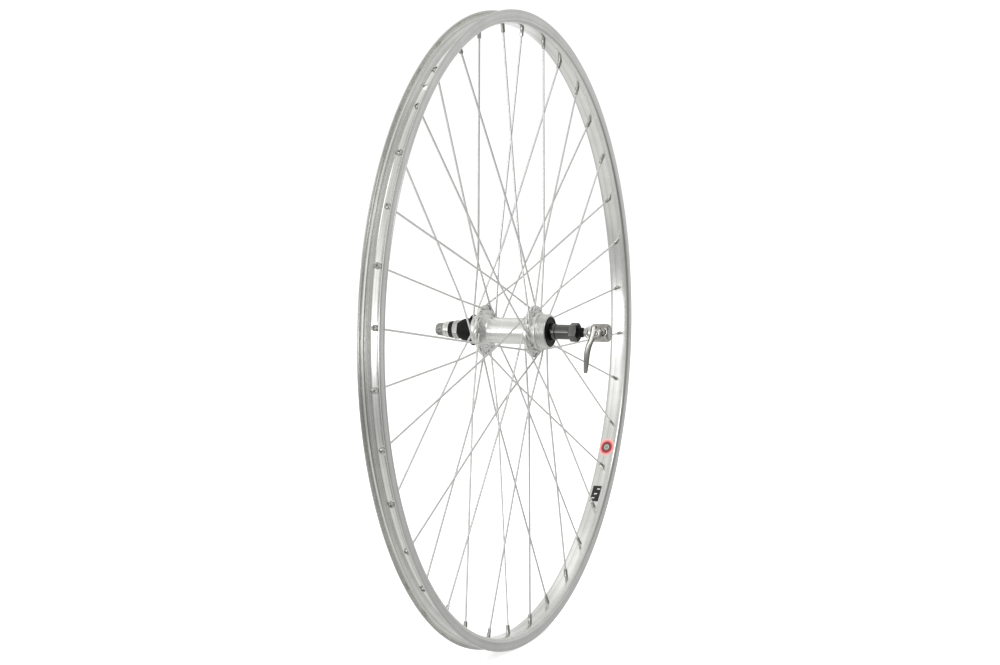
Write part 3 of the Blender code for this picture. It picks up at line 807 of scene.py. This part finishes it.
def make_bearings(look):
    for side, label, end_y in ((-1, "drive_side", -43.8), (1, "non_drive_side", 50.0)):
        race = BALL_RADIUS + 0.2
        arc = race_arc(race, range(-110, 1, 10))
        cup = [(13.7, CUP_LENGTH, 0.3), (13.7, 0.0, 0.4), (7.6, 0.0, 0.3), *arc,
               (BALL_CIRCLE + race, CUP_LENGTH, 0.2)]
        stands_for(turned(label + "_cup_detail", mirrored(side, cup), look["bearing"]),
                   label + "_bearing_cup")

        end = abs(end_y - CUP_START_Y[side])
        cone = rounded(mirrored(side, [
            (5.3, 1.6), (5.9, 1.6), *race_arc(race, range(182, 113, -8)),
            (CONE_COLLAR_RADIUS, BALL_DEPTH + 3.5, 0.4),
            (CONE_COLLAR_RADIUS, end - CONE_FLATS_LENGTH - 0.05),
            (CONE_COLLAR_RADIUS, end - CONE_FLATS_LENGTH + 0.05),
            (CONE_COLLAR_RADIUS, end, 0.5), (5.3, end)]))
        flats_from = CUP_START_Y[side] + side * (end - CONE_FLATS_LENGTH)

        def outline_at(angle, cone=cone, side=side, flats_from=flats_from):
            reach = CONE_FLATS / 2 / max(abs(math.cos(math.radians(angle + 40.0))), 1e-6)
            return [(min(radius, reach) if side * (y - flats_from) > 0 else radius, y)
                    for radius, y in cone]

        stands_for(swept(label + "_cone_detail", outline_at, look["cone"], 96),
                   label + "_cone")

        y = CUP_START_Y[side] + side * BALL_DEPTH
        bm = bmesh.new()
        for ball in range(BALLS_PER_SIDE):
            centre = around_axle(BALL_CIRCLE, y, 360.0 * ball / BALLS_PER_SIDE)
            bmesh.ops.create_uvsphere(bm, u_segments=24, v_segments=14,
                                      radius=(BALL_RADIUS - 0.05) * MM,
                                      matrix=placed(*centre))
        stands_for(mesh_piece(label + "_balls_detail", bm, look["bearing"]),
                   label + "_caged_balls")
        inner, outer = y - side * 3.3, y - side * 2.2
        cage = [(8.4, inner, 0.15), (10.4, inner, 0.15), (10.4, outer, 0.15),
                (8.4, outer, 0.15)]
        goes_with(turned(label + "_cage", cage, look["dark"], 72),
                  label + "_caged_balls")


def make_dust_caps(look):
    drive = [(14.9, -36.2, 0.2), (14.9, -37.95, 0.35), (13.9, -38.15, 0.3),
             (13.3, -37.6, 0.3), (11.0, -37.55, 0.3), (10.4, -37.9, 0.3),
             (8.9, -38.1, 0.3), (8.5, -37.7, 0.2), (8.5, -36.2, 0.2)]
    stands_for(turned("drive_side_dust_cap_detail", drive, look["black"]),
               "drive_side_dust_cap")
    seal_y = NON_DRIVE_END_Y + 0.3
    seal = [(15.7, seal_y + 1.4, 0.6), (15.7, seal_y, 0.3), (13.7, seal_y, 0.1),
            (13.7, seal_y - 1.4, 0.2), (12.7, seal_y - 1.4, 0.2), (12.7, seal_y, 0.2),
            (8.6, seal_y, 0.2), (8.6, seal_y + 1.4, 0.4), (12.8, seal_y + 1.4, 0.4),
            (13.2, seal_y + 1.0, 0.3), (14.0, seal_y + 1.0, 0.3)]
    stands_for(turned("non_drive_side_dust_cap_detail", seal, look["plastic"]),
               "non_drive_side_dust_cap")


# Axle ----------

def hexagon(angle, twist):
    """Distance from the middle to the side of the locknut's hexagon."""
    folded = (angle - twist + 30.0) % 60.0 - 30.0
    return LOCKNUT_FLATS / 2 / math.cos(math.radians(30.0 - abs(folded)))


def make_locknut(name, inner_y, outer_y, material, end_material, node):
    """Locknut whose end face and chamfer, towards the drop-out, have their own finish."""
    side = 1 if outer_y > 0 else -1
    corner = LOCKNUT_FACE_RADIUS

    def outline_at(angle):
        reach = min(hexagon(angle, 180 + LOCKNUT_TWIST), LOCKNUT_CORNER_RADIUS)
        drop = (reach - corner) * math.tan(math.radians(LOCKNUT_CHAMFER))
        crest = 0.18 * tooth(angle / 7.5)
        return [
            (reach - 0.25, inner_y),
            (reach, inner_y + side * 0.25),
            (reach, outer_y - side * (drop + 0.25)),
            (reach - 0.06, outer_y - side * (drop + 0.05)),
            (corner, outer_y - side * 0.12),
            (corner - 0.35, outer_y - side * 0.02),
            (corner - 0.8, outer_y - side * crest),
            (6.2, outer_y - side * crest),
            (5.9, outer_y - side * 0.25),
            (5.25, outer_y - side * 0.7),
            (5.25, inner_y + side * 0.5),
            (5.7, inner_y),
        ]

    nut = swept(name, outline_at, material, 192, LOCKNUT_TWIST, 24.0)
    finish_faces(nut, end_material, lambda polygon: side * polygon.normal.y > 0.5)
    stands_for(nut, node)


def make_axle_stack(look):
    def axle_outline(angle):
        low, high = -AXLE_END_Y, AXLE_END_Y
        left, right = (thread_rows(start, end, AXLE_RADIUS, 0.5, AXLE_PITCH, angle)
                       for start, end in ((low + 0.5, -62.0), (62.0, high - 0.5)))
        return ([(AXLE_BORE, low + 0.3), (AXLE_BORE + 0.3, low), (4.2, low)]
                + left + [(4.95, -61.5), (4.95, 61.5)] + right
                + [(4.2, high), (AXLE_BORE + 0.3, high), (AXLE_BORE, high - 0.3)])

    stands_for(swept("hollow_axle_detail", axle_outline, look["black"], 48),
               "hollow_axle")
    spacer = [(7.4, -44.1, 0.35), (7.4, -59.1, 0.35), (5.3, -59.1), (5.3, -44.1)]
    stands_for(turned("drive_side_spacer_detail", spacer, look["dark"]),
               "drive_side_spacer")
    make_locknut("drive_side_locknut_detail", -59.4, -DROPOUT_FACE_Y, look["nut_dark"],
                 look["black"], "drive_side_locknut")
    spacer = [(7.0, 50.3, 0.3), (7.0, 61.2, 0.3), (5.3, 61.2), (5.3, 50.3)]
    stands_for(turned("non_drive_side_spacer_detail", spacer, look["bearing"]),
               "non_drive_side_spacer")
    make_locknut("non_drive_side_locknut_detail", 61.5, DROPOUT_FACE_Y, look["bright"],
                 look["bright"], "non_drive_side_locknut")
    boot = [
        (8.3, 61.1, 0.2), (8.9, 60.6, 0.3), (9.5, 59.6, 0.4), (10.4, 58.6, 0.5),
        (10.6, 57.3, 0.4), (11.25, 56.2, 0.5), (11.3, 54.9, 0.4), (11.75, 53.6, 0.5),
        (11.75, 52.0, 0.4), (11.9, 50.8, 0.4), (11.9, 47.5, 0.4), (10.3, 47.5, 0.3),
        (9.6, 51.0, 0.6), (8.4, 55.2, 0.6), (7.4, 58.2, 0.5), (7.4, 61.1, 0.2),
    ]
    stands_for(turned("non_drive_side_boot_detail", boot, look["rubber"]),
               "non_drive_side_boot")


# Quick release ----------

def make_rod(look):
    yoke_y = CAM_Y - CAM_THROW
    start_y = yoke_y + 4.0

    def outline_at(angle):
        thread = thread_rows(62.0, ROD_END_Y - 0.4, ROD_RADIUS, 0.36, ROD_PITCH, angle)
        return ([(0.0, start_y), (ROD_RADIUS, start_y), (ROD_RADIUS, 61.8)]
                + thread + [(1.9, ROD_END_Y), (0.0, ROD_END_Y)])

    rod = swept("quick_release_rod_detail", outline_at, look["bearing"], 40)
    bm = bmesh.new()
    bmesh.ops.create_cube(bm, size=1.0, matrix=placed(0, yoke_y, 0) @ Matrix.Diagonal(
        (4.4 * MM, 9.6 * MM, 10.8 * MM, 1.0)))
    bmesh.ops.bevel(bm, geom=bm.edges[:], offset=0.5 * MM, segments=3, affect="EDGES")
    combine(rod, bm, "UNION")
    oval = Matrix.Diagonal((1.0, 1.0, YOKE_SLOT_HALF_HEIGHT / YOKE_SLOT_RADIUS, 1.0))
    slot = cylinder(placed(0, yoke_y, 0) @ oval @ ALONG_X, YOKE_SLOT_RADIUS, 8.0, 40)
    combine(rod, slot, "DIFFERENCE")
    stands_for(rod, "quick_release_rod")


def onto_x(y, z=0.0):
    """Turns a shape swept round Y so that it runs along X at the given y and z."""
    return Matrix(((0, 1, 0, 0), (1, 0, 0, y * MM), (0, 0, -1, z * MM), (0, 0, 0, 1)))


def make_cam_housing(look):
    """Housing with its end plug, and the clamp washer that meets the drop-out."""
    end = HOUSING_END_Y
    outline = [
        (HOUSING_RADIUS, HOUSING_INNER_Y, 0.6),
        (HOUSING_RADIUS, end, 3.6),
        (0.4, end),
        (0.4, end + 2.0),
        (6.4, end + 2.0, 0.4),
        (6.4, HOUSING_INNER_Y),
    ]
    housing = turned("cam_housing_detail", outline, look["housing"], segments=8)
    bm = bmesh.new()
    cylinder_into(bm, placed(-7.0, CAM_Y, 0) @ ALONG_X, 3.95, 8.0, 40)
    cylinder_into(bm, placed(7.0, CAM_Y, 0) @ ALONG_X, 2.35, 8.0, 32)
    combine(housing, bm, "DIFFERENCE")
    pocket = cylinder(placed(-10.0, PLUG_Y, PLUG_Z) @ ALONG_X, 4.5, 5.2, 48)
    combine(housing, pocket, "DIFFERENCE")
    stands_for(housing, "cam_housing")
    button = rounded([(0.0, -7.0), (3.7, -7.0), (3.7, -7.7, 0.3), (2.6, -9.3, 0.8),
                      (1.2, -9.7, 0.8), (0.0, -9.2)], 5)
    bm = bmesh.new()
    swept_into(bm, lambda _: button, 48)
    bmesh.ops.transform(bm, matrix=onto_x(PLUG_Y, PLUG_Z), verts=bm.verts)
    goes_with(mesh_piece("cam_housing_plug", bm, look["lever"]), "cam_housing")

    def washer_at(angle):
        crest = 0.22 * tooth(angle / 10.0)
        return [(5.5, -78.72 - crest), (6.3, -78.95), (7.0, -79.6), (7.3, -80.6),
                (7.3, -82.2), (7.0, -82.5), (2.9, -82.5), (2.9, -79.1),
                (3.2, -78.8), (3.6, -78.72 - crest)]

    stands_for(swept("clamp_washer_detail", washer_at, look["washer"], 144, 0.0, 30.0),
               "clamp_washer")


LEVER_ARM = (
    # Middle of the arm in x, y and z, then its half widths along Y and X.
    (-11.9, -88.6, 8.0, 1.6, 1.2),
    (-11.9, -88.2, 7.2, 2.6, 1.9),
    (-11.9, -87.6, 1.0, 3.2, 1.9),
    (-11.9, -85.6, -5.5, 3.2, 1.9),
    (-12.0, -82.7, -12.0, 3.1, 1.9),
    (-11.6, -80.6, -20.0, 3.0, 1.8),
    (-10.2, -79.2, -30.0, 2.6, 1.6),
    (-8.8, -78.05, -38.2, 1.9, 1.4),
    (-8.6, -77.9, -39.5, 1.1, 0.8),
)


def catmull(rows, steps):
    """Smooth curve through rows of numbers."""
    result = []
    for i in range(len(rows) - 1):
        p = [rows[max(i - 1, 0)], rows[i], rows[i + 1], rows[min(i + 2, len(rows) - 1)]]
        for step in range(steps):
            t = step / steps
            result.append(tuple(
                0.5 * (2 * b + (c - a) * t + (2 * a - 5 * b + 4 * c - d) * t * t
                       + (3 * b - a - 3 * c + d) * t ** 3)
                for a, b, c, d in zip(*p)))
    result.append(rows[-1])
    return result


def make_lever(look):
    bm = bmesh.new()
    sides = 28
    rings = []
    for x, y, z, half_y, half_x in catmull(LEVER_ARM, 6):
        ring = []
        for corner in range(sides):
            turn = TAU * corner / sides
            c, s = math.cos(turn), math.sin(turn)
            across = math.copysign(abs(c) ** 0.75, c) * half_y
            out = math.copysign(abs(s) ** 0.75, s) * half_x
            ring.append(bm.verts.new(Vector((x + out, y + across, z)) * MM))
        rings.append(ring)
    bridge(bm, rings, False)
    lever = mesh_piece("quick_release_lever_detail", bm, look["lever"])

    profile = rounded([
        (0.0, -12.9), (1.2, -12.95, 0.5), (3.0, -13.7, 0.6), (4.4, -13.5, 1.0),
        (6.0, -12.5, 0.9), (6.0, -9.6, 0.3), (3.6, -9.6), (3.6, -2.6), (0.0, -2.6)], 4)
    bm = bmesh.new()
    swept_into(bm, lambda _: profile, 64)
    bmesh.ops.remove_doubles(bm, verts=bm.verts, dist=1e-7)
    bmesh.ops.transform(bm, matrix=onto_x(CAM_Y), verts=bm.verts)
    combine(lever, bm, "UNION")
    cam = cylinder(placed(-0.35, CAM_Y - CAM_THROW, 0) @ ALONG_X, 2.8, 5.7, 40)
    combine(lever, cam, "UNION")
    pin = cylinder(placed(5.0, CAM_Y, 0) @ ALONG_X, 2.0, 6.6, 32)
    combine(lever, pin, "UNION")
    stands_for(lever, "quick_release_lever")


def make_spring(name, start_y, end_y, start_radius, end_radius, look, node):
    """Conical spring of 2.5 turns, its small end at start_y."""
    steps, turns = 120, 2.5
    path = []
    for i in range(steps + 1):
        share = i / steps
        radius = start_radius + (end_radius - start_radius) * share
        y = start_y + (end_y - start_y) * share
        path.append((around_axle(radius, y, 360 * turns * share), SPRING_WIRE_RADIUS))
    bm = bmesh.new()
    loft_into(bm, path, 12)
    stands_for(mesh_piece(name, bm, look["spring"]), node)


def make_adjusting_nut(look):
    def ring_at(angle):
        bite = 0.28 * tooth(angle / 15.0)
        teeth = 0.2 * tooth(angle / 10.0)
        return [(6.9, 68.2), (7.3, 67.82 + teeth), (8.1 - bite, 67.82 + teeth),
                (8.6 - bite, 68.3), (8.6 - bite, 70.9), (8.2, 71.45), (7.2, 71.45),
                (6.9, 71.2)]

    stands_for(swept("nut_clamp_ring_detail", ring_at, look["black"], 192, 0.0, 30.0),
               "nut_clamp_ring")
    body = rounded([
        (6.9, 71.9, 0.2), (8.25, 71.85, 0.5), (8.3, 73.4, 0.2), (7.9, 73.7, 0.15),
        (7.9, 74.1, 0.15), (8.2, 74.4, 0.25), (8.05, 76.2, 0.3), (7.5, 76.5, 0.15),
        (7.5, 77.0, 0.15), (7.7, 77.3, 0.2), (7.35, 78.4, 0.3), (7.1, 78.6, 0.2)], 4)
    end = rounded([(5.3, 87.0, 0.5), (2.8, 87.0, 0.4), (2.8, 78.2), (6.9, 78.2)], 4)
    rows = 14

    def nut_at(angle):
        flute = 0.22 * tooth(angle / 12.0)
        grip = []
        for i in range(rows + 1):
            share = i / rows
            fade = min(1.0, share * 5, (1 - share) * 5)
            grip.append((6.95 - 0.85 * share - flute * fade, 78.8 + 6.9 * share))
        return body + grip + end

    nut = swept("adjusting_nut_detail", nut_at, look["nut"], 180, 0.0, 30.0)
    finish_faces(nut, look["nut_dull"], lambda polygon: polygon.center.y > 78.7 * MM)
    stands_for(nut, "adjusting_nut")


# Spokes ----------

def spoke_line(index):
    """Corner points of a spoke's middle line, and the direction of its nipple."""
    side, lead = spoke_side(index), spoke_lead(index)
    face = side if lead > 0 else -side
    flange = DRIVE_FLANGE_Y if side < 0 else NON_DRIVE_FLANGE_Y
    hub = around_axle(FLANGE_HOLE_CIRCLE, flange, spoke_angle(index) + lead)
    rim_radius = RIM_SKIN_RADIUS + 0.8
    rim = around_axle(rim_radius, HOLE_STAGGER * side, spoke_angle(index))
    flat = Vector((rim.x - hub.x, 0.0, rim.z - hub.z)).normalized()
    across_face = Vector((0.0, face, 0.0))
    half = math.radians(SPOKE_PITCH)
    across = FLANGE_HOLE_CIRCLE * math.sin(math.radians(HUB_LEAD))
    along = FLANGE_HOLE_CIRCLE * math.cos(math.radians(HUB_LEAD))
    share = 1 - rim_radius * math.tan(half) / (across + (rim_radius - along) * math.tan(half))
    crossing = hub.lerp(rim, share) - across_face * CROSSING_OFFSET
    to_rim = (rim - crossing).normalized()
    return hub, flat, across_face, crossing, rim, to_rim


def make_spoke_mesh(index, material):
    hub, flat, out, crossing, rim, to_rim = spoke_line(index)
    foot = FLANGE_THICKNESS / 2 + 0.03
    head = [(foot + 1.2, 0.35), (foot + 1.16, 0.9), (foot + 1.02, 1.4),
            (foot + 0.75, 1.8), (foot + 0.4, 2.0), (foot + 0.1, 1.98), (foot, 1.85),
            (foot, SPOKE_RADIUS)]
    path = [(hub - out * depth, radius) for depth, radius in head]
    line = bend([hub, hub + out * RUN_OFFSET, hub + flat * FLANGE_RUN + out * RUN_OFFSET,
                 crossing, rim + to_rim * 0.4], (1.25, 3.0, 12.0), 8)
    path += [(point, SPOKE_RADIUS * 0.98) for point in line[1:]]
    bm = bmesh.new()
    loft_into(bm, path, 14)
    return mesh_piece("spoke_pattern", bm, material)


def make_nipple_mesh(material):
    """Nipple along Y, from its wrench end at 0 to its slotted head."""
    seat = NIPPLE_LENGTH + 0.75

    def square(angle):
        folded = (angle + 45.0) % 90.0 - 45.0
        return min(1.62 / math.cos(math.radians(folded)), 1.97)

    def outline_at(angle):
        side = square(angle)
        return [(1.04, 0.25), (1.2, 0.0), (1.5, 0.05), (min(side, 1.72), 0.4),
                (side, 0.75), (side, 5.1), (1.97, 5.7), (1.97, 8.0), (2.0, seat - 0.5),
                (2.3, seat), (2.85, seat + 0.12), (3.05, seat + 0.45),
                (3.05, seat + 0.95), (2.85, seat + 1.6), (2.4, seat + 2.15),
                (1.8, seat + 2.5), (1.35, seat + 2.6), (1.04, seat + 2.35)]

    nipple = swept("nipple_pattern", outline_at, material, 48, 0.0, 34.0)
    bm = bmesh.new()
    bmesh.ops.create_cube(bm, size=1.0, matrix=placed(0, seat + 2.6, 0) @ Matrix.Diagonal(
        (8.0 * MM, 2.4 * MM, 0.95 * MM, 1.0)))
    return combine(nipple, bm, "DIFFERENCE", 34.0)


def make_spokes(look):
    nipple = make_nipple_mesh(look["nipple"])
    patterns = [make_spoke_mesh(group, look["spoke"]) for group in range(4)]
    for index in range(SPOKE_COUNT):
        group, row = index % 4, index // 4
        node = f"{SPOKE_GROUPS[group]}_{row + 1}"
        spoke = new_object(node + "_wire", patterns[group].data)
        spoke.matrix_world = Matrix.Rotation(TAU * row / SPOKES_PER_GROUP, 4, "Y")
        stands_for(spoke, node)

        *_, rim, to_rim = spoke_line(index)
        piece = new_object(node.replace("spoke", "nipple"), nipple.data)
        turn = Vector((0.0, 1.0, 0.0)).rotation_difference(to_rim).to_matrix().to_4x4()
        spin = Matrix.Rotation(math.radians(137.5 * index), 4, "Y")
        foot = (rim - to_rim * NIPPLE_LENGTH) * MM
        piece.matrix_world = Matrix.Translation(foot) @ turn @ spin
        goes_with(piece, node)
    for pattern in (*patterns, nipple):
        bpy.data.objects.remove(pattern)


# Labels ----------

def label_material(name, build):
    """Printed vinyl: the pattern is drawn from the label's own flat coordinates."""
    material, tree, shader = new_material(name)
    flat = add_node(tree, "ShaderNodeUVMap", uv_map="flat").outputs["UV"]
    grain = noise(tree, object_place(tree), 900.0)
    speckle = ramp(tree, grain, ((0.3, 0.93), (0.7, 1.0)))
    tree.links.new(mix_colours(tree, 1.0, build(tree, flat), speckle, "MULTIPLY"),
                   shader.inputs["Base Color"])
    tree.links.new(spread(tree, grain, 0.28, 0.40), shader.inputs["Roughness"])
    return material


def round_pattern(tree, flat):
    """Red disc with a pink border, and a dark ring round a pale middle."""
    distance = add_node(tree, "ShaderNodeVectorMath", {0: flat}, operation="LENGTH")
    return ramp(tree, distance.outputs["Value"], (
        (0.00, (0.24, 0.25, 0.21)), (0.20, (0.50, 0.51, 0.46)), (0.32, (0.10, 0.06, 0.06)),
        (0.46, (0.28, 0.03, 0.04)), (0.58, (0.50, 0.05, 0.06)), (0.70, (0.84, 0.32, 0.30)),
        (0.88, (0.90, 0.52, 0.49))), "CONSTANT")


def bar_pattern(tree, flat):
    """Black oblong with three short pale bars in a slanting row."""
    parts = split(tree, flat)
    share = spread(tree, parts["X"], 0.0, 1.0, -1.0, 1.0)
    slant = calculate(tree, "MULTIPLY", parts["X"], 0.7)
    aside = calculate(tree, "ABSOLUTE", calculate(tree, "ADD", parts["Y"], slant))
    dark, pale = 0.012, (0.80, 0.80, 0.78)
    bars = ramp(tree, share, ((0.0, dark), (0.18, pale), (0.25, dark), (0.44, pale),
                              (0.52, dark), (0.76, pale), (0.83, dark)), "CONSTANT")
    short = ramp(tree, aside, ((0.0, 1.0), (0.34, dark)), "CONSTANT")
    return mix_colours(tree, 1.0, bars, short, "DARKEN")


def make_label(name, angle, centre_y, half_along, half_across, is_round, material):
    """Thin sheet stuck on the rim's inner face."""
    bm = bmesh.new()
    layer = bm.loops.layers.uv.new("flat")
    columns, rows = 24, 12
    under, over = 0.03, 0.13
    flat_of = {}

    def vertex(u, v, lift):
        if is_round:
            reach = max(abs(u), abs(v))
            length = math.hypot(u, v)
            u, v = (u * reach / length, v * reach / length) if length else (0.0, 0.0)
        y = centre_y + v * half_across
        radius = skin_radius(y) - lift
        turn = math.degrees(u * half_along / RIM_SKIN_RADIUS)
        vert = bm.verts.new(around_axle(radius, y, angle + turn) * MM)
        flat_of[vert] = (u, v)
        return vert

    sheets = []
    for lift in (under, over):
        sheets.append([[vertex(2 * i / columns - 1, 2 * j / rows - 1, lift)
                        for j in range(rows + 1)] for i in range(columns + 1)])
    for sheet in sheets:
        for i in range(columns):
            for j in range(rows):
                bm.faces.new((sheet[i][j], sheet[i + 1][j], sheet[i + 1][j + 1],
                              sheet[i][j + 1]))
    lower, upper = sheets
    border = ([(i, 0) for i in range(columns)] + [(columns, j) for j in range(rows)]
              + [(i, rows) for i in range(columns, 0, -1)]
              + [(0, j) for j in range(rows, 0, -1)])
    for (i, j), (k, m) in zip(border, border[1:] + border[:1]):
        bm.faces.new((lower[i][j], lower[k][m], upper[k][m], upper[i][j]))
    for face in bm.faces:
        for loop in face.loops:
            loop[layer].uv = flat_of[loop.vert]
    goes_with(mesh_piece(name, bm, material, 40.0, 0.0), "rim")


def make_labels():
    make_label("rim_round_label", -28.9, 0.9, 10.4, 9.2, True,
               label_material("label_red", round_pattern))
    make_label("rim_bar_label", -40.1, 1.4, 10.2, 5.0, False,
               label_material("label_black", bar_pattern))


# Assembly ----------

make_camera()
make_world()
make_studio()
LOOK = make_materials()
# The rim's finish gets painted shade in the creases of its tyre bed.
paint_crease_shade(LOOK["rim"])
make_rim(LOOK)
make_hub_shell(LOOK)
make_bearings(LOOK)
make_dust_caps(LOOK)
make_axle_stack(LOOK)
make_rod(LOOK)
make_cam_housing(LOOK)
make_lever(LOOK)
make_spring("drive_side_spring_detail", -73.8, -77.8, 3.6, 6.2, LOOK, "drive_side_spring")
make_spring("non_drive_side_spring_detail", 73.9, 77.3, 3.6, 5.8, LOOK,
            "non_drive_side_spring")
make_adjusting_nut(LOOK)
make_spokes(LOOK)
make_labels()

bpy.context.scene.view_settings.view_transform = "Standard"
